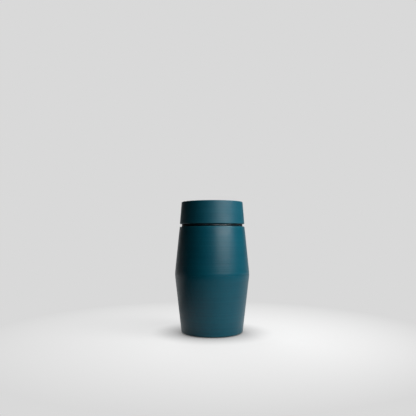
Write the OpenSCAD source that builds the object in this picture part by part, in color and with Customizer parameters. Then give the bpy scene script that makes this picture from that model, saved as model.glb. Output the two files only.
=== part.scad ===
// Lidded amphora: a tall urn of two spun metal cones joined at the belly, with a screw lid.
// The base rests on Z = 0 and the axis of the vessel is the Z axis. All sizes are in millimetres.

/* [Body] */
// Radius of the lower cone where it reaches the foot
foot_r = 67.2; // [60:0.1:76]
// Radius at which the two cones of the body would meet
belly_r = 81.8; // [78:0.1:95]
// Height of the belly above the foot
belly_h = 127; // [100:1:160]
// Radius of the upper cone where it reaches the shoulder
shoulder_r = 71.2; // [66:0.1:76]
// Height of the shoulder above the foot
shoulder_h = 231.5; // [200:0.5:280]
// Thickness of the metal of the body
shell_wall = 2; // [1.2:0.1:3]
// Outer radius of the soft bend at the belly
belly_bend_r = 75; // [20:1:120]
// Outer radius of the bend at the foot
foot_bend_r = 4; // [1:0.1:8]
// Outer radius of the bend at the shoulder
shoulder_bend_r = 1.6; // [0.5:0.1:3]

/* [Seam] */
// Height of the lip on the lower cone that reaches up inside the upper one
lap_h = 9; // [5:0.5:20]
// Thickness of that lip
lap_wall = 1.6; // [1:0.1:2.5]

/* [Base] */
// Width of the foot ring that the metal turns in to
foot_ring_w = 15; // [12:0.5:25]
// Thickness of the plate that closes the base
base_plate_t = 2; // [1:0.1:4]
// Width of the base plate's seat on the foot ring
base_seat_w = 8; // [3:0.5:12]
// How far the pad stands out below the foot ring
pad_proud = 0.5; // [0.2:0.1:1]

/* [Neck] */
// How far the neck stands back behind the edge of the shoulder
neck_inset = 4.5; // [3:0.1:7]
// Height of the collar's rim above the shoulder
rim_h = 2.6; // [1.5:0.1:5]
// Width of the rim, from the neck's outer face to the threaded bore
rim_w = 9; // [7:0.1:12]
// Thickness of the collar's wall behind the thread
collar_wall = 4; // [2.5:0.1:5]
// Depth of the collar below the shoulder
collar_depth = 18; // [16:0.5:30]
// Height of the rubber seal between rim and lid
seal_h = 2.7; // [1.5:0.1:4]

/* [Thread] */
// Number of separate thread ridges
thread_starts = 4; // [2:1:4]
// Distance that the lid rises in one full turn
thread_lead = 20; // [18:1:23]
// Height of a ridge above the wall that it stands on
thread_depth = 1.5; // [1:0.1:2]
// Width of a ridge at its crest
thread_crest_w = 1.4; // [0.8:0.1:1.6]
// Slope of a ridge's flanks in degrees
thread_flank = 25; // [15:1:35]
// Length of each ridge in degrees round the neck
thread_arc = 150; // [60:5:170]

/* [Lid] */
// Height of the lid from its lower edge to its top
lid_h = 48.5; // [30:0.5:70]
// How far the lid's lower edge stands inside the edge of the shoulder
lid_edge_inset = 0.3; // [0:0.1:2]
// How much the lid's radius shrinks from its lower edge to its top
lid_taper = 4; // [0:0.1:8]
// Thickness of the metal of the lid
lid_wall = 2; // [1.2:0.1:3]
// Outer radius of the bend round the top of the lid
lid_top_bend_r = 1.8; // [1:0.1:6]
// Outer radius of the bend at the lid's lower edge
lid_edge_bend_r = 1.2; // [0.5:0.1:2.5]
// Thickness of the wall of the lid's threaded ring
ring_wall = 3.6; // [2.5:0.1:5]
// Depth of the threaded ring below the lid's lower edge
ring_depth = 21; // [20:0.5:26]
// Thickness of the ring's flange inside the lid
ring_flange_t = 2.5; // [1.5:0.1:4]
// Width of that flange outside the hole in the lid's underside
ring_flange_w = 6; // [4:0.5:7]

/* [Fits] */
// Gap that the brazing fills between two metal pieces
braze_gap = 0.1; // [0.05:0.01:0.2]
// Gap round the felt pad inside the foot ring
pad_gap = 0.5; // [0.2:0.1:1]
// Gap between the seal and the ring that it sits on
seal_gap = 0.1; // [0.05:0.01:0.2]
// Gap between the crest of one thread and the wall of the other
crest_gap = 0.4; // [0.3:0.05:0.6]
// Gap between the flanks that hold the lid down
flank_gap = 0.35; // [0.3:0.05:0.6]

/* [Hidden] */
$fn = 128;

// Largest distance between a bend's chords and its true arc
arc_fineness = 0.02;
// How far a ridge's root is sunk into its wall, so that the two are one solid
ridge_sink = 0.3;
// Steps along each ridge, and the length in degrees over which its ends fade into the wall
ridge_steps = 30;
ridge_fade = 12;
// Length of the joggle below the seam where the lower cone steps inwards
joggle_h = 4;
// Width of the chamfers at the mouth of the collar and at the foot of the threaded ring
lead_in = 1.2;
// Height of the plain wall on the threaded ring between its chamfer and its ridges
thread_margin = 1.2;
// A size larger than the vessel, for cutting away everything on one side of a height
beyond = 1000;

// Heights, from the floor up
foot_z = pad_proud;
belly_z = foot_z + belly_h;
shoulder_z = foot_z + shoulder_h;
rim_z = shoulder_z + rim_h;
lid_z = rim_z + seal_h;
lid_top_z = lid_z + lid_h;
plate_z = foot_z + shell_wall;
collar_foot_z = shoulder_z - collar_depth;
ring_foot_z = lid_z - ring_depth;
flange_z = lid_z + lid_wall;

// Radii, from the outside in
lid_edge_r = shoulder_r - lid_edge_inset;
lid_top_r = lid_edge_r - lid_taper;
neck_r = shoulder_r - neck_inset;
mouth_r = neck_r - rim_w;
collar_r = mouth_r + collar_wall;
shoulder_hole_r = collar_r + braze_gap;
ring_crest_r = mouth_r - crest_gap;
ring_root_r = ring_crest_r - thread_depth;
ring_bore_r = ring_root_r - ring_wall;
ring_land_r = mouth_r + crest_gap;
lid_hole_r = ring_land_r + braze_gap;
foot_hole_r = foot_r - foot_ring_w;

// Thread: the ridges of the lid ring run below those of the collar and pull up against them
mouth_crest_r = mouth_r - thread_depth;
ridge_rise = thread_lead * thread_arc / 360;
flank_share = tan(thread_flank);
flank_to_flank = thread_crest_w + (ring_crest_r - mouth_crest_r) * flank_share + flank_gap;
ridge_half_w = thread_crest_w / 2 + thread_depth * flank_share;
ring_ridge_z = ring_foot_z + lead_in + thread_margin + ridge_half_w;
collar_ridge_z = ring_ridge_z + flank_to_flank;

// The outer line of the body and of the lid, with the radius of the bend at each of their points
body_line = [[foot_hole_r, foot_z], [foot_r, foot_z], [belly_r, belly_z],
             [shoulder_r, shoulder_z], [shoulder_hole_r, shoulder_z]];
body_bends = [0, foot_bend_r, belly_bend_r, shoulder_bend_r, 0];
lid_line = [[lid_hole_r, lid_z], [lid_edge_r, lid_z], [lid_top_r, lid_top_z], [0, lid_top_z]];
lid_bends = [0, lid_edge_bend_r, lid_top_bend_r, 0];

function unit(v) = v / norm(v);
function left_of(v) = [-v[1], v[0]];
function turned(v, angle) = [v[0] * cos(angle) - v[1] * sin(angle), v[0] * sin(angle) + v[1] * cos(angle)];
function reversed(list) = [for (i = [len(list) - 1:-1:0]) list[i]];

// Points of the arc of radius r that takes the place of corner b between a and c
function bend(a, b, c, r) =
    let (u = unit(b - a),
         w = unit(c - b),
         turn = atan2(cross(u, w), u * w),
         centre = b - u * r * tan(turn / 2) + left_of(u) * r,
         chord_turn = sqrt(8 * arc_fineness / r) * 180 / PI,
         steps = ceil(turn / chord_turn))
    [for (k = [0:steps]) centre - turned(left_of(u), turn * k / steps) * r];

// A line with its corners bent, where every corner turns left; a bend of 0 keeps the corner sharp
function bent(line, bends) =
    [for (i = [0:len(line) - 1])
        each bends[i] > 0 ? bend(line[i - 1], line[i], line[i + 1], bends[i]) : [line[i]]];

// A line moved to its left by a distance, with its corners mitred
function moved_in(line, by) =
    [for (i = [0:len(line) - 1])
        let (before = left_of(unit(line[max(i, 1)] - line[max(i, 1) - 1])),
             after = left_of(unit(line[min(i + 1, len(line) - 1)] - line[min(i, len(line) - 2)])))
        line[i] + by * (before + after) / (1 + before * after)];

// Section of the sheet between two depths behind an outer line
module sheet(line, bends, from, to) {
    outer = bent(moved_in(line, from), [for (r = bends) max(r - from, 0)]);
    inner = bent(moved_in(line, to), [for (r = bends) max(r - to, 0)]);
    polygon(concat(outer, reversed(inner)));
}

// What of a section lies between two heights
module between(low, high) {
    intersection() {
        children();
        translate([0, low]) square([beyond, high - low]);
    }
}

// Height at which the belly's bend is upright, where the seam runs
function seam_z() =
    let (low = unit(body_line[2] - body_line[1]),
         high = unit(body_line[3] - body_line[2]),
         n_low = left_of(low),
         n_high = left_of(high))
    belly_z + (belly_bend_r * (n_low + n_high) / (1 + n_low * n_high))[1];

// One ridge of a thread on a wall of radius root_r; side is 1 where it stands outwards and -1 inwards
module ridge(root_r, side) {
    sections = [for (i = [0:ridge_steps])
        let (angle = thread_arc * i / ridge_steps,
             fade = min(1, angle / ridge_fade, (thread_arc - angle) / ridge_fade),
             height = fade * thread_depth - (1 - fade) * ridge_sink / 2,
             crest_half_w = thread_crest_w / 2 + (thread_depth - height) * flank_share,
             root_half_w = ridge_half_w + ridge_sink * flank_share,
             root = root_r - side * ridge_sink,
             crest = root_r + side * height,
             rise = thread_lead * angle / 360)
        for (p = [[root, -root_half_w], [crest, -crest_half_w], [crest, crest_half_w], [root, root_half_w]])
            [p[0] * cos(angle), p[0] * sin(angle), rise + p[1]]];
    last = 4 * ridge_steps;
    sides = [for (i = [0:ridge_steps - 1], k = [0:3])
        let (a = 4 * i + k, b = 4 * i + (k + 1) % 4)
        for (f = [[a, b, b + 4], [a, b + 4, a + 4]]) f];
    ends = [[3, 2, 1], [3, 1, 0], [last, last + 1, last + 2], [last, last + 2, last + 3]];
    faces = concat(sides, ends);
    polyhedron(sections, side > 0 ? faces : [for (f = faces) reversed(f)]);
}

// All ridges of one thread, spaced evenly round the axis, with the lowest points at height z
module thread(root_r, side, z) {
    for (start = [0:thread_starts - 1])
        rotate([0, 0, start * 360 / thread_starts]) translate([0, 0, z]) ridge(root_r, side);
}

// Lower cone: foot ring, bend and cone up to the seam, with the lip that the upper cone slides over
module lower_shell() {
    lip_from = shell_wall + braze_gap;
    lip_to = lip_from + lap_wall;
    color("darkslategray") rotate_extrude() {
        between(0, seam_z()) sheet(body_line, body_bends, 0, shell_wall);
        between(seam_z() - joggle_h, seam_z()) sheet(body_line, body_bends, shell_wall / 2, lip_to);
        between(seam_z() - joggle_h, seam_z() + lap_h) sheet(body_line, body_bends, lip_from, lip_to);
    }
}

// Upper cone: from the seam to the flat shoulder, with the hole that takes the collar
module upper_shell() {
    color("darkslategray") rotate_extrude()
        between(seam_z(), beyond) sheet(body_line, body_bends, 0, shell_wall);
}

// Turned collar brazed into the shoulder: the rim that carries the seal, and the inner thread
module neck_collar() {
    color("slategray") {
        rotate_extrude() polygon([
            [mouth_r, collar_foot_z], [collar_r, collar_foot_z], [collar_r, shoulder_z],
            [neck_r, shoulder_z], [neck_r, rim_z], [mouth_r + lead_in, rim_z],
            [mouth_r, rim_z - lead_in]]);
        thread(mouth_r, -1, collar_ridge_z);
    }
}

// Flat disc brazed on to the inside of the foot ring
module base_plate() {
    color("gray") translate([0, 0, plate_z])
        cylinder(r = foot_hole_r + base_seat_w, h = base_plate_t);
}

// Felt disc glued under the base plate, inside the foot ring
module base_pad() {
    color("dimgray") cylinder(r = foot_hole_r - pad_gap, h = plate_z);
}

// Spun cap of the lid, turned in below to a flat underside with a hole for the threaded ring
module lid_shell() {
    color("darkslategray") rotate_extrude() sheet(lid_line, lid_bends, 0, lid_wall);
}

// Turned ring brazed into the lid: flange on the underside's metal, land for the seal, outer thread
module lid_ring() {
    color("silver") {
        rotate_extrude() polygon([
            [ring_bore_r, ring_foot_z], [ring_root_r - lead_in, ring_foot_z],
            [ring_root_r, ring_foot_z + lead_in], [ring_root_r, rim_z + crest_gap],
            [ring_land_r, rim_z + crest_gap], [ring_land_r, flange_z],
            [lid_hole_r + ring_flange_w, flange_z],
            [lid_hole_r + ring_flange_w, flange_z + ring_flange_t],
            [ring_bore_r, flange_z + ring_flange_t]]);
        thread(ring_root_r, 1, ring_ridge_z);
    }
}

// Black rubber seal that fills the upper half of the gap between body and lid
module lid_seal() {
    color("black") translate([0, 0, rim_z]) difference() {
        cylinder(r = neck_r, h = seal_h);
        translate([0, 0, -seal_h]) cylinder(r = ring_land_r + seal_gap, h = 3 * seal_h);
    }
}

lower_shell();
upper_shell();
neck_collar();
base_plate();
base_pad();
lid_shell();
lid_ring();
lid_seal();
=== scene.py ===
"""Lidded amphora in satin petrol lacquer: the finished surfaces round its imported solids.

Each visible piece is a surface of turning: a line in the (radius, height) plane, carried once round the Z
axis on a grid of two parameters, the distance along the line and the angle round the axis. All sizes are in
metres.
"""

import math

import bpy
import numpy as np
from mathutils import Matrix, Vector


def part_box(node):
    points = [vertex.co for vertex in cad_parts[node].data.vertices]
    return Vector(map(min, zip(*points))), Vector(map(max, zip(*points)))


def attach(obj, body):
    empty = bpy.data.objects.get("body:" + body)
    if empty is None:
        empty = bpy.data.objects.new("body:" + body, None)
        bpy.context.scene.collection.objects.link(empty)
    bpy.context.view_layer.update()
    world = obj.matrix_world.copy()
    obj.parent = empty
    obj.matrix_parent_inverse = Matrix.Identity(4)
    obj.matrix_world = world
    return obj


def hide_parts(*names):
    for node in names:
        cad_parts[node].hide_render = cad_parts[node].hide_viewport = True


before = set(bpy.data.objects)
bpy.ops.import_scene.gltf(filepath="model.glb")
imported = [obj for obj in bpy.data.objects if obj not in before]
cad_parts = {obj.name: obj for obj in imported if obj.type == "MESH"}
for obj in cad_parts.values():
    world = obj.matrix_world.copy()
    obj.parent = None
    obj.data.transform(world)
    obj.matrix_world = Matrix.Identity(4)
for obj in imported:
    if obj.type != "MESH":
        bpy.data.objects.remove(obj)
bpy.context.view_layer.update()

MM = 0.001

# ---------------------------------------------------------------------------------------------------------
# Sizes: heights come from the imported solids, radii and bends repeat the solids' own driving sizes
# ---------------------------------------------------------------------------------------------------------

foot_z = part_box("lower_shell")[0].z
seam_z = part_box("upper_shell")[0].z
shoulder_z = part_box("upper_shell")[1].z
lip_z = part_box("lower_shell")[1].z
collar_foot_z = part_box("neck_collar")[0].z
rim_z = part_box("neck_collar")[1].z
lid_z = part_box("lid_shell")[0].z
lid_top_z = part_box("lid_shell")[1].z
ring_foot_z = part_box("lid_ring")[0].z
ring_top_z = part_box("lid_ring")[1].z
pad_top_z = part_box("base_pad")[1].z

foot_r = 67.2 * MM
belly_r = 81.8 * MM
belly_z = foot_z + 127 * MM
shoulder_r = 71.2 * MM
lid_edge_r = 70.9 * MM
lid_top_r = 66.9 * MM
neck_r = 66.7 * MM
mouth_r = 57.7 * MM
collar_r = 61.7 * MM
ring_crest_r = 57.3 * MM
ring_root_r = 55.8 * MM
ring_bore_r = 52.2 * MM
ring_land_r = 58.1 * MM
flange_w = 6 * MM
flange_h = 2.5 * MM
seal_bore_r = 58.2 * MM
foot_hole_r = 52.2 * MM
pad_r = 51.7 * MM
braze_gap = 0.1 * MM
wall = 2 * MM
lap_wall = 1.6 * MM
joggle_h = 4 * MM

belly_bend_r = 75 * MM
foot_bend_r = 4 * MM
shoulder_bend_r = 1.6 * MM
lid_top_bend_r = 1.8 * MM
lid_edge_bend_r = 1.2 * MM
broken_edge_r = 0.35 * MM

thread_starts = 4
thread_lead = 20 * MM
thread_depth = 1.5 * MM
thread_crest_w = 1.4 * MM
thread_flank = math.radians(25)
thread_arc = math.radians(150)
thread_fade = math.radians(14)
lead_in = 1.2 * MM
thread_margin = 1.2 * MM
flank_gap = 0.35 * MM
crest_gap = 0.4 * MM

# ---------------------------------------------------------------------------------------------------------
# Lines in the (radius, height) plane
# ---------------------------------------------------------------------------------------------------------


def unit(v):
    """The vector divided by its own length."""
    return v / np.linalg.norm(v)


def arc_in_corner(before, corner, after, radius, chord_turn):
    """Points of the arc of that radius that touches both sides of the corner: the centre lies on the
    corner's bisector, and the points go round it from the one touching point to the other in equal
    angles."""
    u, w = unit(corner - before), unit(after - corner)
    turn = math.atan2(u[0] * w[1] - u[1] * w[0], float(u @ w))
    side = math.copysign(1.0, turn)
    normal = side * np.array([-u[1], u[0]])
    centre = corner - u * radius * math.tan(abs(turn) / 2) + normal * radius
    angles = np.linspace(0.0, turn, max(3, math.ceil(abs(turn) / chord_turn) + 1))
    spoke = -normal * radius
    return centre + np.stack([spoke[0] * np.cos(angles) - spoke[1] * np.sin(angles),
                              spoke[0] * np.sin(angles) + spoke[1] * np.cos(angles)], axis=1)


def bent_line(corners, bends, chord_turn=math.radians(7.5), closed=False):
    """The line through the corners with each corner replaced by its arc. A bend of 0 keeps the corner sharp.
    Returns the points, and for each point how close it is to a tight bend, from 0 to 1."""
    corners = np.array(corners, dtype=float)
    count = len(corners)
    parts, tight = [], []
    for i, bend in enumerate(bends):
        inner = closed or 0 < i < count - 1
        if bend > 0 and inner:
            arc = arc_in_corner(corners[i - 1], corners[i], corners[(i + 1) % count], bend,
                                min(chord_turn, 2.0 * math.sqrt(2 * 0.01 * MM / bend)))
        else:
            arc = corners[i:i + 1]
        parts.append(arc)
        tight.append(np.full(len(arc), 1.0 if 0 < bend < 6 * MM else 0.0))
    return np.concatenate(parts), np.concatenate(tight)


def moved_in(corners, by):
    """The corners of the line that runs at that distance to the left of the first, with its corners
    mitred."""
    corners = np.array(corners, dtype=float)
    along = np.diff(corners, axis=0)
    along /= np.linalg.norm(along, axis=1, keepdims=True)
    left = np.stack([-along[:, 1], along[:, 0]], axis=1)
    before, after = np.vstack([left[:1], left]), np.vstack([left, left[-1:]])
    return corners + by * (before + after) / (1 + np.sum(before * after, axis=1, keepdims=True))


def spaced(line, tight, spacing):
    """The same line with its long straight spans divided, so that no two points are further apart than the
    spacing. Every point of the line is kept with its tight value, and a new point is never tight."""
    steps = np.linalg.norm(np.diff(line, axis=0), axis=1)
    along = np.concatenate([[0.0], np.cumsum(steps)])
    pieces = np.maximum(1, np.ceil(steps / spacing)).astype(int)
    start = np.repeat(along[:-1], pieces)
    share = np.arange(pieces.sum()) - np.repeat(np.cumsum(pieces) - pieces, pieces)
    stations = np.append(start + share * np.repeat(steps / pieces, pieces), along[-1])
    points = np.stack([np.interp(stations, along, line[:, k]) for k in (0, 1)], axis=1)
    kept_tight = np.where(share > 0, 0.0, np.repeat(tight[:-1], pieces))
    return points, np.append(kept_tight, tight[-1])


def below(line, height):
    """The part of a rising line that lies below a height, ended exactly there."""
    rising = line[:, 1]
    cut = int(np.argmax(rising > height + 1e-9))
    share = (height - rising[cut - 1]) / (rising[cut] - rising[cut - 1])
    return np.vstack([line[:cut], line[cut - 1] + share * (line[cut] - line[cut - 1])])


def above(line, height):
    """The part of a rising line that lies above a height, begun exactly there."""
    return below(line[::-1] * [1, -1], -height)[::-1] * [1, -1]


# ---------------------------------------------------------------------------------------------------------
# Surfaces of turning
# ---------------------------------------------------------------------------------------------------------


def turned_surface(name, line, around, finishes, materials, closed=True, relief=None, edge=None):
    """A surface of turning. The point at station s and angle a is (r cos a, r sin a, z), where (r, z) is
    the line at s moved along its own normal by relief(r, z, a). A closed line makes a ring. The two ends of
    an open line lie on the axis and become one pole each.

    finishes gives the material's number for each station, and edge how close the station is to a crisp
    edge.
    """
    stations = len(line)
    angle = np.arange(around) * 2 * math.pi / around
    if closed:
        tangent = np.roll(line, -1, axis=0) - np.roll(line, 1, axis=0)
    else:
        tangent = np.gradient(line, axis=0)
    tangent /= np.maximum(np.linalg.norm(tangent, axis=1, keepdims=True), 1e-12)
    outward = np.stack([tangent[:, 1], -tangent[:, 0]], axis=1)
    radius = np.repeat(line[:, 0:1], around, axis=1)
    height = np.repeat(line[:, 1:2], around, axis=1)
    if relief is not None:
        by = relief(radius, height, angle[None, :])
        radius, height = radius + by * outward[:, 0:1], height + by * outward[:, 1:2]
    grid = np.stack([radius * np.cos(angle), radius * np.sin(angle), height], axis=2)

    rows = np.arange(stations if closed else stations - 1)[:, None]
    cols = np.arange(around)[None, :]
    after_row, after_col = (rows + 1) % stations, (cols + 1) % around
    quads = np.stack([rows * around + cols, rows * around + after_col,
                      after_row * around + after_col, after_row * around + cols], axis=2).reshape(-1, 4)
    finish = np.repeat(np.asarray(finishes)[: len(rows)], around)
    vertices = grid.reshape(-1, 3)
    nearness = np.repeat(np.zeros(stations) if edge is None else edge, around)
    faces = [quads]
    if not closed:
        # each end's whole row is one point on the axis, so its quads become the fans of a pole
        quads = quads[around:-around]
        first, last = around, (stations - 2) * around
        start, end = len(vertices), len(vertices) + 1
        ring, following = np.arange(around), (np.arange(around) + 1) % around
        fan_a = np.stack([np.full(around, start), first + following, first + ring], axis=1)
        fan_b = np.stack([np.full(around, end), last + ring, last + following], axis=1)
        vertices = np.vstack([vertices, [[0, 0, line[0, 1]], [0, 0, line[-1, 1]]]])
        nearness = np.append(nearness, [0.0, 0.0])
        faces = [quads, fan_a, fan_b]
        finish = np.concatenate([finish[around:-around], np.full(around, finish[0]),
                                 np.full(around, finish[-1])])
        used = np.unique(np.concatenate([f.ravel() for f in faces]))
        number = np.zeros(len(vertices), dtype=int)
        number[used] = np.arange(len(used))
        vertices, nearness = vertices[used], nearness[used]
        faces = [number[f] for f in faces]
    return mesh_piece(name, vertices, faces, finish, materials, nearness)


def mesh_piece(name, vertices, faces, finish, materials, nearness):
    """An object at the origin with these faces, turned to point outwards: a closed surface whose faces point
    outwards has a positive volume, the sum of a . (b x c) / 6 over its triangles."""
    triangles = np.vstack([f[:, [0, k, k + 1]] for f in faces for k in range(1, f.shape[1] - 1)])
    a, b, c = (vertices[triangles[:, k]] for k in range(3))
    if np.einsum("ij,ij->i", a, np.cross(b, c)).sum() < 0:
        faces = [f[:, ::-1] for f in faces]
    mesh = bpy.data.meshes.new(name)
    sizes = np.concatenate([np.full(len(f), f.shape[1]) for f in faces])
    corners = np.concatenate([f.ravel() for f in faces])
    mesh.vertices.add(len(vertices))
    mesh.vertices.foreach_set("co", vertices.astype(np.float32).ravel())
    mesh.loops.add(len(corners))
    mesh.loops.foreach_set("vertex_index", corners.astype(np.int32))
    mesh.polygons.add(len(sizes))
    starts = np.concatenate([[0], np.cumsum(sizes)[:-1]])
    mesh.polygons.foreach_set("loop_start", starts.astype(np.int32))
    mesh.polygons.foreach_set("material_index", np.asarray(finish, dtype=np.int32))
    mesh.polygons.foreach_set("use_smooth", np.ones(len(sizes), dtype=bool))
    mesh.update(calc_edges=True)
    mesh.validate()
    mesh.attributes.new("edge", "FLOAT", "POINT").data.foreach_set("value", nearness.astype(np.float32))
    mesh.set_sharp_from_angle(angle=math.radians(38))
    for material in materials:
        mesh.materials.append(material)
    piece = bpy.data.objects.new(name, mesh)
    bpy.context.scene.collection.objects.link(piece)
    return piece


def edge_nearness(line, tight, reach):
    """For each point of a line, how close it is to the middle of a tight bend: exp(-(d / reach)^2), where d
    is the distance along the line."""
    along = np.concatenate([[0.0], np.cumsum(np.linalg.norm(np.diff(line, axis=0), axis=1))])
    if not (tight > 0.5).any():
        return np.zeros(len(line))
    distance = np.abs(along[:, None] - along[None, tight > 0.5]).min(axis=1)
    return np.exp(-((distance / reach) ** 2))


def spinning_ripple(seed, depth, waves, foot, top):
    """A relief for spun metal: shallow waves round the axis that a forming roller leaves, deepest near the
    sheet's foot and top, where the roller turned. It is a sum of sines of the height less the radius, with
    wavelengths in the given range, plus a slow out-of-round term, and it only takes away, so that the piece
    stays inside its solid."""
    draw = np.random.default_rng(seed)
    lengths = draw.uniform(*waves, 7)
    phases = draw.uniform(0, 2 * math.pi, 7)
    shares = draw.uniform(0.4, 1.0, 7)

    def relief(radius, height, angle):
        travel = height - radius
        bands = sum(share * np.sin(2 * math.pi * travel / length + phase)
                    for share, length, phase in zip(shares, lengths, phases)) / shares.sum()
        to_edge = np.clip(np.minimum(height - foot, top - height) / ripple_edge_h, 0, 1)
        local_depth = depth * (1 - (1 - ripple_in_middle) * to_edge)
        oval = np.sin(2 * angle + 0.7) * 0.6 + np.sin(3 * angle + travel / 0.09) * 0.4
        return local_depth * (bands - 1) + out_of_round * (oval - 1) - inside_by

    return relief


# ---------------------------------------------------------------------------------------------------------
# Materials
# ---------------------------------------------------------------------------------------------------------


def srgb(r, g, b):
    """A colour written as it shows on a screen, 0 to 255, as the linear values that a shader takes."""
    channel = lambda v: v / 12.92 if v <= 0.04045 else ((v + 0.055) / 1.055) ** 2.4
    return tuple(channel(v / 255) for v in (r, g, b)) + (1.0,)


class Finish:
    """A new material with a Principled shader, and short calls for the nodes that lead to it."""

    def __init__(self, name, **constants):
        self.material = bpy.data.materials.new(name)
        self.material.use_nodes = True
        self.tree = self.material.node_tree
        self.shader = self.tree.nodes["Principled BSDF"]
        for socket, value in constants.items():
            self.shader.inputs[socket.replace("_", " ")].default_value = value
        self.place = self.node("ShaderNodeTexCoord").outputs["Object"]

    def node(self, kind, **settings):
        made = self.tree.nodes.new(kind)
        for key, value in settings.items():
            setattr(made, key, value)
        return made

    def put(self, value, socket):
        """Links an output to an input, or writes a constant there."""
        if isinstance(value, bpy.types.NodeSocket):
            self.tree.links.new(value, socket)
        else:
            socket.default_value = value

    def math(self, operation, *values):
        made = self.node("ShaderNodeMath", operation=operation)
        for value, socket in zip(values, made.inputs):
            self.put(value, socket)
        return made.outputs[0]

    def xyz(self, vector):
        return self.node_of("ShaderNodeSeparateXYZ", vector).outputs

    def node_of(self, kind, value):
        made = self.node(kind)
        self.put(value, made.inputs[0])
        return made

    def vector(self, x, y, z):
        made = self.node("ShaderNodeCombineXYZ")
        for value, socket in zip((x, y, z), made.inputs):
            self.put(value, socket)
        return made.outputs[0]

    def noise(self, vector, scale, detail=2.0, roughness=0.5, distortion=0.0):
        made = self.node("ShaderNodeTexNoise")
        self.put(vector, made.inputs["Vector"])
        for name, value in (("Scale", scale), ("Detail", detail), ("Roughness", roughness),
                            ("Distortion", distortion)):
            made.inputs[name].default_value = value
        return made.outputs["Fac"]

    def cells(self, vector, scale):
        made = self.node("ShaderNodeTexVoronoi", feature="F1")
        self.put(vector, made.inputs["Vector"])
        made.inputs["Scale"].default_value = scale
        return made.outputs["Distance"]

    def ramp(self, value, low, high, to_low=0.0, to_high=1.0):
        """Straight from to_low at low to to_high at high, and level outside."""
        made = self.node("ShaderNodeMapRange", clamp=True)
        for name, number in (("From Min", low), ("From Max", high), ("To Min", to_low), ("To Max", to_high)):
            made.inputs[name].default_value = number
        self.put(value, made.inputs["Value"])
        return made.outputs["Result"]

    def blend(self, share, first, second, how="MIX"):
        made = self.node("ShaderNodeMix", data_type="RGBA", blend_type=how)
        self.put(share, made.inputs["Factor"])
        self.put(first, made.inputs["A"])
        self.put(second, made.inputs["B"])
        return made.outputs["Result"]

    def bump(self, height, depth, after=None):
        made = self.node("ShaderNodeBump")
        self.put(height, made.inputs["Height"])
        made.inputs["Distance"].default_value = depth
        made.inputs["Strength"].default_value = 1.0
        if after is not None:
            self.put(after, made.inputs["Normal"])
        return made.outputs["Normal"]

    def turning(self, slow, fine):
        """A place that runs slowly round the axis and fast along the turned line, for marks that a tool
        leaves round a turned piece: x and y count slow times, and the height less the radius counts fine
        times."""
        x, y, z = self.xyz(self.place)
        squares = self.math("MULTIPLY", x, x), self.math("MULTIPLY", y, y)
        radius = self.math("SQRT", self.math("ADD", *squares))
        travel = self.math("SUBTRACT", z, radius)
        return self.vector(self.math("MULTIPLY", x, slow), self.math("MULTIPLY", y, slow),
                           self.math("MULTIPLY", travel, fine))

    def attribute(self, name):
        return self.node("ShaderNodeAttribute", attribute_name=name).outputs["Fac"]

    def finish(self, color=None, roughness=None, normal=None):
        for value, name in ((color, "Base Color"), (roughness, "Roughness"), (normal, "Normal")):
            if value is not None:
                self.put(value, self.shader.inputs[name])
        return self.material


def petrol_lacquer(name, smooth, dull, band_depth):
    """Satin lacquer over spun metal: a deep petrol with slow mottling, bands and fine lines round the axis
    that show through from the metal, a faint grain, thin paler lacquer on crisp edges and a few specks of
    dust. Its roughness lies between smooth and dull, and band_depth is the bands' full height."""
    f = Finish(name, IOR=1.5, Specular_IOR_Level=0.42, Anisotropic=0.25)
    tangent = f.node("ShaderNodeTangent", direction_type="RADIAL", axis="Z")
    f.put(tangent.outputs[0], f.shader.inputs["Tangent"])
    slow = f.noise(f.place, 16.0, 3.0, 0.55)
    bands = f.noise(f.turning(4.0, 230.0), 1.0, 2.0, 0.55)
    lines = f.noise(f.turning(5.0, 900.0), 1.0, 3.0, 0.6)
    fine_lines = f.noise(f.turning(9.0, 3200.0), 1.0, 2.0, 0.5)
    grain = f.noise(f.place, 1500.0, 2.0, 0.6)
    edge = f.attribute("edge")
    base, deep, pale = srgb(0, 90, 109), srgb(0, 85, 104), srgb(7, 97, 116)
    color = f.blend(f.ramp(slow, 0.35, 0.65), deep, base)
    color = f.blend(f.ramp(bands, 0.4, 0.7, 0.0, 0.5), color, pale)
    color = f.blend(f.ramp(lines, 0.45, 0.8, 0.0, 0.35), color, pale)
    worn = f.math("MULTIPLY", edge, f.ramp(f.noise(f.place, 260.0, 4.0, 0.7), 0.38, 0.68))
    color = f.blend(f.math("MULTIPLY", worn, 0.35), color, srgb(58, 118, 128))
    dust = f.ramp(f.cells(f.place, 210.0), 0.035, 0.06, 1.0, 0.0)
    chosen = f.ramp(f.noise(f.place, 95.0, 1.0), 0.62, 0.66)
    color = f.blend(f.math("MULTIPLY", f.math("MULTIPLY", dust, chosen), 0.3), color, srgb(150, 165, 168))
    smudge = f.noise(f.place, 42.0, 4.0, 0.6, 0.6)
    rough = f.math("ADD", f.ramp(smudge, 0.3, 0.7, smooth, dull), f.ramp(lines, 0.3, 0.7, -0.025, 0.03))
    rough = f.math("ADD", rough, f.ramp(bands, 0.3, 0.7, -0.02, 0.02))
    rough = f.math("SUBTRACT", rough, f.math("MULTIPLY", worn, 0.06))
    normal = f.bump(bands, band_depth)
    normal = f.bump(lines, 0.005 * MM, after=normal)
    normal = f.bump(fine_lines, 0.0012 * MM, after=normal)
    normal = f.bump(grain, 0.0015 * MM, after=normal)
    return f.finish(color, rough, normal)


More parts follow.
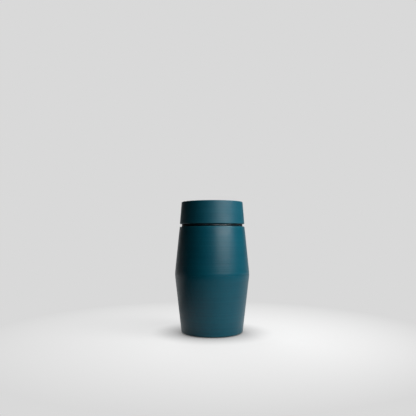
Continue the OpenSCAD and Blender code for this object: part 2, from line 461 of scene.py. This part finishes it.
def rim_lacquer_painted_shade():
    """The lacquer on the collar's rim, down in the gap, with painted shade: a petrol much darker than the
    body's, which stands in for the shadow under the lid's edge. It is duller, with faint lines."""
    f = Finish("rim_lacquer_painted_shade", IOR=1.5, Specular_IOR_Level=0.1)
    lines = f.noise(f.turning(6.0, 1300.0), 1.0, 3.0, 0.6)
    patches = f.noise(f.place, 70.0, 3.0, 0.6)
    # painted shade: these dark petrols stand in for the shadow under the lid's edge, not for a darker
    # lacquer
    color = f.blend(f.ramp(patches, 0.35, 0.7), srgb(3, 26, 34), srgb(6, 33, 42))
    color = f.blend(f.ramp(lines, 0.5, 0.8, 0.0, 0.4), color, srgb(10, 40, 50))
    return f.finish(color, f.ramp(patches, 0.3, 0.7, 0.52, 0.62), f.bump(lines, 0.01 * MM))


def turned_aluminium(name, shade, coarse):
    """Bare turned aluminium: a tool's fine spiral round the axis, dull cloudy oxide and brighter crests."""
    f = Finish(name, Metallic=1.0, Anisotropic=0.45)
    tangent = f.node("ShaderNodeTangent", direction_type="RADIAL", axis="Z")
    f.put(tangent.outputs[0], f.shader.inputs["Tangent"])
    lines = f.noise(f.turning(4.0, coarse), 1.0, 3.0, 0.65)
    fine_lines = f.noise(f.turning(11.0, coarse * 4), 1.0, 2.0, 0.5)
    clouds = f.noise(f.place, 38.0, 5.0, 0.65, 0.4)
    bright, dull = srgb(shade, shade + 1, shade + 3), srgb(shade - 34, shade - 33, shade - 30)
    color = f.blend(f.ramp(clouds, 0.36, 0.66), dull, bright)
    color = f.blend(f.ramp(lines, 0.5, 0.85, 0.0, 0.5), color, srgb(shade - 60, shade - 58, shade - 54))
    rough = f.math("ADD", f.ramp(clouds, 0.3, 0.7, 0.42, 0.3), f.ramp(fine_lines, 0.3, 0.7, -0.04, 0.06))
    normal = f.bump(lines, 0.02 * MM)
    normal = f.bump(fine_lines, 0.006 * MM, after=normal)
    return f.finish(color, rough, normal)


def seal_rubber():
    """Matt dark rubber with a moulded grain and a pale bloom of dust in its low places."""
    f = Finish("seal_rubber", IOR=1.5, Specular_IOR_Level=0.13, Sheen_Weight=0.03, Sheen_Roughness=0.5)
    grain = f.noise(f.place, 1900.0, 3.0, 0.6)
    bloom = f.noise(f.place, 55.0, 4.0, 0.6, 0.3)
    streaks = f.noise(f.turning(8.0, 700.0), 1.0, 2.0)
    color = f.blend(f.ramp(bloom, 0.45, 0.8, 0.0, 0.6), srgb(33, 40, 44), srgb(46, 53, 57))
    color = f.blend(f.ramp(streaks, 0.55, 0.8, 0.0, 0.3), color, srgb(58, 64, 68))
    rough = f.ramp(bloom, 0.3, 0.75, 0.58, 0.78)
    normal = f.bump(streaks, 0.008 * MM, after=f.bump(grain, 0.03 * MM))
    return f.finish(color, rough, normal)


def black_felt():
    """Pressed wool felt: short fibres lying every way, with a soft sheen and a few paler hairs."""
    f = Finish("black_felt", Sheen_Weight=0.45, Sheen_Roughness=0.6, Specular_IOR_Level=0.2)
    f.shader.inputs["Sheen Tint"].default_value = srgb(120, 122, 128)
    one_way = f.noise(f.node_of("ShaderNodeMapping", f.place).outputs[0], 900.0, 4.0, 0.7, 3.0)
    stretched = f.node("ShaderNodeMapping")
    f.put(f.place, stretched.inputs["Vector"])
    stretched.inputs["Scale"].default_value = (2400.0, 420.0, 700.0)
    stretched.inputs["Rotation"].default_value = (0.0, 0.0, 0.8)
    hairs = f.noise(stretched.outputs[0], 1.0, 3.0, 0.6, 1.8)
    tufts = f.noise(f.place, 130.0, 4.0, 0.6)
    color = f.blend(f.ramp(tufts, 0.35, 0.7), srgb(24, 25, 28), srgb(40, 41, 45))
    color = f.blend(f.ramp(hairs, 0.62, 0.8, 0.0, 0.5), color, srgb(86, 88, 94))
    normal = f.bump(hairs, 0.12 * MM, after=f.bump(one_way, 0.2 * MM))
    return f.finish(color, f.ramp(tufts, 0.3, 0.7, 0.86, 0.96), normal)


lacquer = petrol_lacquer("petrol_lacquer", 0.34, 0.39, 0.19 * MM)
lid_lacquer = petrol_lacquer("lid_lacquer", 0.45, 0.5, 0.38 * MM)
painted_shade_rim = rim_lacquer_painted_shade()
spun_inside = turned_aluminium("spun_inside", 168, 620.0)
turned_bright = turned_aluminium("turned_bright", 205, 1100.0)
rubber = seal_rubber()
felt = black_felt()

# ---------------------------------------------------------------------------------------------------------
# The body
# ---------------------------------------------------------------------------------------------------------

LACQUERED, BARE = 0, 1
around_body = 360
around_thread = 450
around_seal = 288
around_felt = 300
outer_step = 0.9 * MM
inner_step = 3 * MM
thread_step = 0.16 * MM
turned_step = 1.2 * MM
worn_reach = 0.9 * MM
ripple_depth = 0.016 * MM
ripple_waves = (4.5 * MM, 10 * MM)
ripple_in_middle = 0.4
ripple_edge_h = 22 * MM
out_of_round = 0.01 * MM
inside_by = 0.053 * MM
shoulder_ease = 0.3 * MM
shoulder_ease_h = 22 * MM
body_corners = [(foot_hole_r, foot_z), (foot_r, foot_z), (belly_r, belly_z), (shoulder_r, shoulder_z),
                (collar_r + braze_gap, shoulder_z)]
body_bends = [0, foot_bend_r, belly_bend_r, shoulder_bend_r, 0]


def body_sheet(depth):
    """The body's outer line moved in by a depth, with its bends that much tighter."""
    line, tight = bent_line(moved_in(body_corners, depth), [max(r - depth, 0) for r in body_bends])
    return line, tight


def joined(*spans):
    """One closed line out of spans of (points, tight, finish, spacing). Returns the line, each point's
    nearness to a crisp edge, and each point's finish."""
    lines, edges, finishes = [], [], []
    for line, tight, finish, spacing in spans:
        points, near = spaced(np.asarray(line, dtype=float), np.asarray(tight, dtype=float), spacing)
        lines.append(points)
        edges.append(edge_nearness(points, near, worn_reach) if finish == LACQUERED
                     else np.zeros(len(points)))
        finishes.append(np.full(len(points), finish))
    return np.vstack(lines), np.concatenate(edges), np.concatenate(finishes)


def part_of(cut, line, tight, height):
    """A rising line cut at a height by below or above, with its tight values."""
    kept = cut(line, height)
    along = line[:, 1] + 1e-6 * np.arange(len(line))
    return kept, np.floor(np.interp(kept[:, 1], along, tight) + 0.01)


def lower_cone():
    """The lower sheet: its outer line from the foot's hole up to the seam, then the lip that reaches on
    inside the upper sheet, at the wall and the braze gap from the outer line, and back down the inner line,
    which lies at the wall's depth. Carried round the axis, the closed line makes the whole shell."""
    outer, tight = body_sheet(0.0)
    outer, tight = part_of(below, outer, tight, seam_z)
    lip_out, _ = body_sheet(wall + braze_gap)
    lip_in, _ = body_sheet(wall + braze_gap + lap_wall)
    inner, _ = body_sheet(wall)
    lip_out = below(above(lip_out, seam_z), lip_z)
    lip_in = below(above(lip_in, seam_z - joggle_h), lip_z)
    inner = below(inner, seam_z - joggle_h)
    none = lambda line: np.zeros(len(line))
    line, edge, finish = joined((outer, tight, LACQUERED, outer_step),
                                (lip_out, none(lip_out), BARE, inner_step),
                                (lip_in[::-1], none(lip_in), BARE, inner_step),
                                (inner[::-1], none(inner), BARE, inner_step))
    relief = spinning_ripple(11, ripple_depth, ripple_waves, foot_z, shoulder_z)
    return turned_surface("lower_cone", line, around_body, finish, [lacquer, spun_inside], relief=relief,
                          edge=edge)


def upper_cone():
    """The sheet from the seam to the shoulder. Near the shoulder its outer line eases inwards by a share of
    the ease that grows as the square of the height above where it begins, as a spun edge does."""
    outer, tight = body_sheet(0.0)
    outer, tight = part_of(above, outer, tight, seam_z)
    outer, tight = spaced(outer, tight, outer_step)
    risen = np.clip((outer[:, 1] - shoulder_z + shoulder_ease_h) / shoulder_ease_h, 0, 1)
    outer[:, 0] -= shoulder_ease * risen ** 2
    inner, _ = body_sheet(wall)
    inner = above(inner, seam_z)
    line, edge, finish = joined((outer, tight, LACQUERED, outer_step),
                                (inner[::-1], np.zeros(len(inner)), BARE, inner_step))
    relief = spinning_ripple(11, ripple_depth, ripple_waves, foot_z, shoulder_z)
    return turned_surface("upper_cone", line, around_body, finish, [lacquer, spun_inside], relief=relief,
                          edge=edge)


# ---------------------------------------------------------------------------------------------------------
# Threads
# ---------------------------------------------------------------------------------------------------------

flank_run = thread_depth * math.tan(thread_flank)
ridge_half_w = thread_crest_w / 2 + flank_run
ring_ridge_z = ring_foot_z + lead_in + thread_margin + ridge_half_w
mouth_crest_r = mouth_r - thread_depth
collar_ridge_z = (ring_ridge_z + thread_crest_w + (ring_crest_r - mouth_crest_r) * math.tan(thread_flank)
                  + flank_gap)


def thread_relief(wall_r, first_z):
    """Ridges on a round wall: at angle a and height z, a ridge that began at angle b lies at first_z plus
    the lead times (a - b) / 2 pi. Its height falls from the full depth at its crest to 0 at its root along
    soft flanks, and fades out at both ends."""

    def relief(radius, height, angle):
        on_wall = np.clip(1 - np.abs(radius - wall_r) / (0.05 * MM), 0, 1)
        raised = np.zeros(np.broadcast(radius, angle).shape)
        for start in range(thread_starts):
            turned = (angle - start * 2 * math.pi / thread_starts) % (2 * math.pi)
            ends = np.clip(np.minimum(turned, thread_arc - turned) / thread_fade, 0, 1)
            away = np.abs(height - first_z - thread_lead * turned / (2 * math.pi))
            flank = np.clip((ridge_half_w - away) / flank_run, 0, 1)
            soft = flank * flank * (3 - 2 * flank)
            raised = np.maximum(raised, thread_depth * soft * ends * ends * (3 - 2 * ends))
        return raised * on_wall

    return relief


def threaded_piece(name, corners, bends, thread_span, wall_r, first_z, finishes, lacquered=None):
    """A turned ring whose span number thread_span, between two corners, is divided finely enough to hold the
    ridges. finishes gives each span's finish."""
    count = len(corners)
    corners = np.array(corners, dtype=float)
    spans = []
    for i in range(count):
        here, there = corners[i], corners[(i + 1) % count]
        along = unit(there - here)
        cut_here = bends[i] * math.tan(abs(corner_turn(corners, i)) / 2)
        cut_there = bends[(i + 1) % count] * math.tan(abs(corner_turn(corners, (i + 1) % count)) / 2)
        arc = (arc_in_corner(corners[i - 1], here, there, bends[i], math.radians(18)) if bends[i] > 0
               else corners[i:i + 1])
        straight = np.vstack([here + along * cut_here, there - along * cut_there])
        spacing = thread_step if i == thread_span else turned_step
        points, _ = spaced(straight, np.zeros(2), spacing)
        spans.append((np.vstack([arc, points[1:-1]]), finishes[i]))
    line = np.vstack([points for points, _ in spans])
    finish = np.concatenate([np.full(len(points), kind) for points, kind in spans])
    return turned_surface(name, line, around_thread, finish, [lacquered or turned_bright, turned_bright],
                          relief=thread_relief(wall_r, first_z))


def corner_turn(corners, i):
    """The angle that a closed line turns through at corner i."""
    u = unit(corners[i] - corners[i - 1])
    w = unit(corners[(i + 1) % len(corners)] - corners[i])
    return math.atan2(u[0] * w[1] - u[1] * w[0], float(u @ w))


def collar():
    """The brazed collar: a closed line of seven corners, which stands on the shoulder as the neck, is bored
    to the mouth's radius and carries the inner ridges of thread_relief on its bore."""
    soft = broken_edge_r
    corners = [(collar_r, collar_foot_z), (collar_r, shoulder_z), (neck_r, shoulder_z), (neck_r, rim_z),
               (mouth_r + lead_in, rim_z), (mouth_r, rim_z - lead_in), (mouth_r, collar_foot_z)]
    bends = [soft, 0, 0, soft, soft, soft, soft]
    finishes = [BARE, BARE, LACQUERED, BARE, BARE, BARE, BARE]
    # the rim's span takes the dark lacquer of painted shade
    return threaded_piece("turned_collar", corners, bends, 5, mouth_r, collar_ridge_z, finishes, painted_shade_rim)


def lid_ring():
    """The lid's threaded ring: a closed line of nine corners, with a flange above the lid's lip, a land in
    the lip's hole and the outer ridges of thread_relief on the wall below it."""
    soft = broken_edge_r
    flange_z = ring_top_z - flange_h
    flange_r = ring_land_r + braze_gap + flange_w
    land_z = rim_z + crest_gap
    corners = [(ring_bore_r, ring_foot_z), (ring_root_r - lead_in, ring_foot_z),
               (ring_root_r, ring_foot_z + lead_in), (ring_root_r, land_z), (ring_land_r, land_z),
               (ring_land_r, flange_z), (flange_r, flange_z), (flange_r, ring_top_z),
               (ring_bore_r, ring_top_z)]
    bends = [soft, soft, soft, soft, soft / 2, 0, 0, soft, soft]
    return threaded_piece("turned_lid_ring", corners, bends, 2, ring_root_r, ring_ridge_z, [BARE] * 9)


# ---------------------------------------------------------------------------------------------------------
# Lid, seal and base
# ---------------------------------------------------------------------------------------------------------


def lid_cap():
    """The spun cap: its inner line runs from the middle of the top down to the turned-in lip, and its outer
    line from the lip up the side and over the edge to the middle, where the top sags a little."""
    sag = 0.25 * MM
    hole_r = ring_land_r + braze_gap
    corners = [(hole_r, lid_z), (lid_edge_r, lid_z), (lid_top_r, lid_top_z), (0.0, lid_top_z)]
    bends = [0, lid_edge_bend_r, lid_top_bend_r, 0]
    outer, tight = bent_line(corners, bends)
    inner, _ = bent_line(moved_in(corners, wall), [max(r - wall, 0) for r in bends])
    outer, tight = spaced(outer, tight, outer_step)
    inner, _ = spaced(inner, np.zeros(len(inner)), inner_step)
    for line, top in ((outer, lid_top_z), (inner, lid_top_z - wall)):
        on_top = line[:, 1] > top - 1e-6
        reach = np.clip(line[:, 0] / (lid_top_r - 4 * MM), 0, 1)
        line[on_top, 1] -= sag * (1 - reach[on_top] ** 2) ** 2
    line = np.vstack([inner[::-1], outer])
    edge = np.concatenate([np.zeros(len(inner)), edge_nearness(outer, tight, worn_reach)])
    finish = np.concatenate([np.full(len(inner), BARE), np.full(len(outer), LACQUERED)])
    relief = spinning_ripple(13, ripple_depth, ripple_waves, lid_z, lid_top_z)
    return turned_surface("lid_cap", line, around_body, finish, [lid_lacquer, spun_inside], closed=False,
                          relief=relief, edge=edge)


def seal():
    """The rubber ring, with rounded corners, a slightly hollow outer face and the thin line of its mould."""
    inset, corner_r = 0.25 * MM, 0.5 * MM
    outer_r = neck_r - inset
    corners = [(seal_bore_r, rim_z), (outer_r, rim_z), (outer_r, lid_z), (seal_bore_r, lid_z)]
    line, _ = bent_line(corners, [0.2 * MM, corner_r, corner_r, 0.2 * MM], closed=True)
    line = np.vstack([line, line[:1]])
    line, _ = spaced(line, np.zeros(len(line)), 0.12 * MM)
    line = line[:-1]
    middle = (rim_z + lid_z) / 2

    def relief(radius, height, angle):
        outside = np.clip((radius - outer_r + 0.05 * MM) / (0.05 * MM), 0, 1)
        hollow = 0.12 * MM * np.clip(1 - ((height - middle) / (0.8 * MM)) ** 2, 0, 1)
        flash = 0.1 * MM * np.exp(-(((height - middle) / (0.09 * MM)) ** 2))
        uneven = 0.7 + 0.3 * np.sin(9 * angle) * np.sin(4 * angle + 1)
        return outside * (flash * uneven - hollow)

    finish = np.zeros(len(line), dtype=int)
    return turned_surface("rubber_seal", line, around_seal, finish, [rubber], relief=relief)


def felt_disc():
    """The felt under the base: a flat disc with a soft rim, whose faces rise and sink like pressed wool.
    The relief is a sum of slanting sines in x and y, and only takes away, so that the disc keeps to its
    height."""
    rim_bend = 0.7 * MM
    corners = [(0.0, 0.0), (pad_r, 0.0), (pad_r, pad_top_z), (0.0, pad_top_z)]
    line, _ = bent_line(corners, [0, rim_bend, rim_bend, 0])
    line, _ = spaced(line, np.zeros(len(line)), 0.7 * MM)
    draw = np.random.default_rng(21)
    waves = draw.uniform(-1, 1, (14, 2)) * 2 * math.pi / (3.5 * MM)
    phases = draw.uniform(0, 2 * math.pi, 14)

    def relief(radius, height, angle):
        x, y = radius * np.cos(angle), radius * np.sin(angle)
        total = sum(np.sin(kx * x + ky * y + phase) for (kx, ky), phase in zip(waves, phases))
        return 0.03 * MM * (np.tanh(total / 4) - 1)

    finish = np.zeros(len(line), dtype=int)
    return turned_surface("felt_disc", line, around_felt, finish, [felt], closed=False, relief=relief)


def place_pieces():
    """Makes every piece from rows of maker, body, solid and finish: it puts the piece on its body and hides
    the solid.
    """
    for make, body, node, slot in ((lower_cone, "vessel", "lower_shell", "lacquer"),
                                   (upper_cone, "vessel", "upper_shell", "lacquer"),
                                   (collar, "vessel", "neck_collar", "bare_metal"),
                                   (felt_disc, "vessel", "base_pad", "felt"),
                                   (seal, "seal", "lid_seal", "seal_rubber"),
                                   (lid_cap, "lid", "lid_shell", "lacquer"),
                                   (lid_ring, "lid", "lid_ring", "bare_metal")):
        piece = make()
        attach(piece, body)
        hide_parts(node)


place_pieces()
for material_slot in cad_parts["base_plate"].material_slots:
    material_slot.material = spun_inside

# ---------------------------------------------------------------------------------------------------------
# Floor, backdrop, light and camera
# ---------------------------------------------------------------------------------------------------------

backdrop_grey = srgb(217, 217, 217)
paper_white = srgb(243, 243, 243)
lit_white = srgb(252, 252, 252)
# painted shadow: the grey of the contact shadow that is painted into the floor's own glow near the vessel
painted_shadow_grey = srgb(130, 130, 130)
# painted light: a pool of light on the floor beside the vessel, which only reflections see, partly as the
# floor's own glow
painted_pool_centre = (0.2, -0.05, 0.0)
painted_pool_glow = 0.6
shadow_softening = 0.7
low_return = srgb(100, 100, 100)
dim_floor = srgb(60, 60, 60)
floor_half = 6.0
paper_r, grey_r = 0.18, 0.5
return_near_r, return_far_r = 0.16, 0.26
# radii of the painted pool of light
pool_r, pool_end_r = 0.32, 0.62
behind_from_y, behind_to_y = -0.05, 0.25
# reach and levels of the ambient occlusion that places the painted contact shadow
painted_shadow_reach = 0.07
contact_dark, contact_open = 0.4, 0.98


def shown_rays(tree):
    """1 for the rays that show the surroundings as they look (camera, glossy, transmission), 0 for
    others."""
    path = tree.nodes.new("ShaderNodeLightPath")
    either = tree.nodes.new("ShaderNodeMath")
    any_of = tree.nodes.new("ShaderNodeMath")
    either.operation = any_of.operation = "MAXIMUM"
    tree.links.new(path.outputs["Is Camera Ray"], either.inputs[0])
    tree.links.new(path.outputs["Is Glossy Ray"], either.inputs[1])
    tree.links.new(either.outputs[0], any_of.inputs[0])
    tree.links.new(path.outputs["Is Transmission Ray"], any_of.inputs[1])
    return path, any_of.outputs[0]


def stage_floor():
    """A wide flat floor: white paper round the vessel, shaded close to it partly by its real shadow and
    partly by a contact shadow painted into the paper's own glow from an ambient occlusion node, which passes
    into the backdrop's even grey further out. Reflections don't see what the camera sees: they see a pool of
    light painted on the paper beside the vessel, as white paper inside it and as its own glow, that fades
    into a dim floor, and the even grey only on the side behind the vessel. The floor returns little light."""
    half = floor_half
    mesh = bpy.data.meshes.new("floor")
    corners = [(-half, -half, 0), (half, -half, 0), (half, half, 0), (-half, half, 0)]
    mesh.from_pydata(corners, [], [(0, 1, 2, 3)])
    floor = bpy.data.objects.new("floor", mesh)
    bpy.context.scene.collection.objects.link(floor)
    f = Finish("floor_paper", Roughness=0.9, Specular_IOR_Level=0.0)
    x, y, _ = f.xyz(f.place)
    away = f.math("SQRT", f.math("ADD", f.math("MULTIPLY", x, x), f.math("MULTIPLY", y, y)))
    path, shown = shown_rays(f.tree)
    further = f.ramp(away, paper_r, grey_r)
    seen = path.outputs["Is Camera Ray"]
    seen_share = f.math("MULTIPLY", seen, f.ramp(away, paper_r, grey_r, shadow_softening, 1.0))
    mirrored = f.math("SUBTRACT", shown, seen)
    to_pool = f.node("ShaderNodeVectorMath", operation="DISTANCE")
    f.put(f.place, to_pool.inputs[0])
    to_pool.inputs[1].default_value = painted_pool_centre
    # painted light: how far inside the painted pool of light a point lies
    painted_pool_share = f.ramp(to_pool.outputs["Value"], pool_r, pool_end_r, 1.0, 0.0)
    behind_share = f.math("MULTIPLY", further, f.ramp(y, behind_from_y, behind_to_y))
    glow = f.math("MAXIMUM", behind_share, f.math("MULTIPLY", painted_pool_share, painted_pool_glow))
    mirrored_share = f.math("MULTIPLY", mirrored, glow)
    returned = f.blend(f.ramp(away, return_near_r, return_far_r), low_return, dim_floor)
    # painted light: to reflections the floor is white paper inside the painted pool and dim outside it
    mirrored_with_painted_pool = f.blend(painted_pool_share, dim_floor, paper_white)
    f.finish(f.blend(shown, returned, f.blend(seen, mirrored_with_painted_pool, paper_white)))
    even = f.node("ShaderNodeEmission")
    # painted shadow: ambient occlusion darkens the floor's own glow towards grey round the vessel's foot
    open_sky = f.node("ShaderNodeAmbientOcclusion")
    open_sky.inputs["Distance"].default_value = painted_shadow_reach
    open_share = f.ramp(open_sky.outputs["AO"], contact_dark, contact_open)
    white_with_painted_shadow = f.blend(open_share, painted_shadow_grey, lit_white)
    f.put(f.blend(further, white_with_painted_shadow, backdrop_grey), even.inputs["Color"])
    mix = f.node("ShaderNodeMixShader")
    f.put(f.math("ADD", seen_share, mirrored_share), mix.inputs[0])
    f.put(f.shader.outputs[0], mix.inputs[1])
    f.put(even.outputs[0], mix.inputs[2])
    f.put(mix.outputs[0], f.tree.nodes["Material Output"].inputs["Surface"])
    mesh.materials.append(f.material)


def soft_box(name, azimuth, elevation, distance, size, power, aim):
    """A soft box at that azimuth to the right of the camera and that elevation above the aim."""
    data = bpy.data.lights.new(name, "AREA")
    data.shape, data.size, data.size_y, data.energy = "ELLIPSE", size[0], size[1], power
    lamp = bpy.data.objects.new(name, data)
    a, e = math.radians(azimuth), math.radians(elevation)
    away = Vector((math.sin(a) * math.cos(e), -math.cos(a) * math.cos(e), math.sin(e)))
    lamp.location = Vector(aim) + away * distance
    lamp.rotation_euler = (-away).to_track_quat("-Z", "Y").to_euler()
    lamp.visible_camera = False
    bpy.context.scene.collection.objects.link(lamp)


def room_light(ambient):
    """The room: the backdrop's grey to the camera and, on the side behind the vessel, to reflections too.
    The rest of it gives a low even light."""
    world = bpy.data.worlds.new("room")
    world.use_nodes = True
    tree = world.node_tree
    shown_wall = tree.nodes["Background"]
    shown_wall.inputs["Color"].default_value = backdrop_grey
    low = tree.nodes.new("ShaderNodeBackground")
    low.inputs["Color"].default_value = (1, 1, 1, 1)
    low.inputs["Strength"].default_value = ambient
    direction = tree.nodes.new("ShaderNodeTexCoord")
    split = tree.nodes.new("ShaderNodeSeparateXYZ")
    behind = tree.nodes.new("ShaderNodeMapRange")
    behind.inputs["From Min"].default_value = 0.65
    behind.inputs["From Max"].default_value = 1.0
    path, shown = shown_rays(tree)
    reflected = tree.nodes.new("ShaderNodeMath")
    share = tree.nodes.new("ShaderNodeMath")
    reflected.operation, share.operation = "MULTIPLY", "MAXIMUM"
    mix = tree.nodes.new("ShaderNodeMixShader")
    for output, socket in ((direction.outputs["Generated"], split.inputs[0]),
                           (split.outputs["Y"], behind.inputs["Value"]),
                           (behind.outputs[0], reflected.inputs[0]),
                           (shown, reflected.inputs[1]),
                           (reflected.outputs[0], share.inputs[0]),
                           (path.outputs["Is Camera Ray"], share.inputs[1]),
                           (share.outputs[0], mix.inputs[0]),
                           (low.outputs[0], mix.inputs[1]),
                           (shown_wall.outputs[0], mix.inputs[2]),
                           (mix.outputs[0], tree.nodes["World Output"].inputs["Surface"])):
        tree.links.new(output, socket)
    bpy.context.scene.world = world


def camera():
    """The photograph's view: level, a little below the gap under the lid, with the vessel low in the
    frame."""
    frame_px = 416
    focal_px = 484.0
    horizon_row_px = 235.1
    axis_column_px = 212.1
    distance = 1.0652
    eye_height = 0.2131
    data = bpy.data.cameras.new("camera")
    data.sensor_width = 36.0
    data.lens = focal_px / frame_px * data.sensor_width
    data.shift_y = (horizon_row_px - frame_px / 2) / frame_px
    eye = bpy.data.objects.new("camera", data)
    eye.location = (-(axis_column_px - frame_px / 2) * distance / focal_px, -distance, eye_height)
    eye.rotation_euler = (math.radians(90), 0, 0)
    bpy.context.scene.collection.objects.link(eye)
    bpy.context.scene.camera = eye


stage_floor()
middle = (0, 0, 0.16)
soft_box("window", 42, 20, 0.9, (0.96, 0.3), 4.5, middle)
soft_box("right_side", 68, 50, 0.65, (0.28, 0.28), 2.3, middle)
soft_box("behind", 195, 32, 1.5, (0.8, 0.8), 8, middle)
room_light(0.004)
camera()
bpy.context.scene.view_settings.view_transform = "Standard"
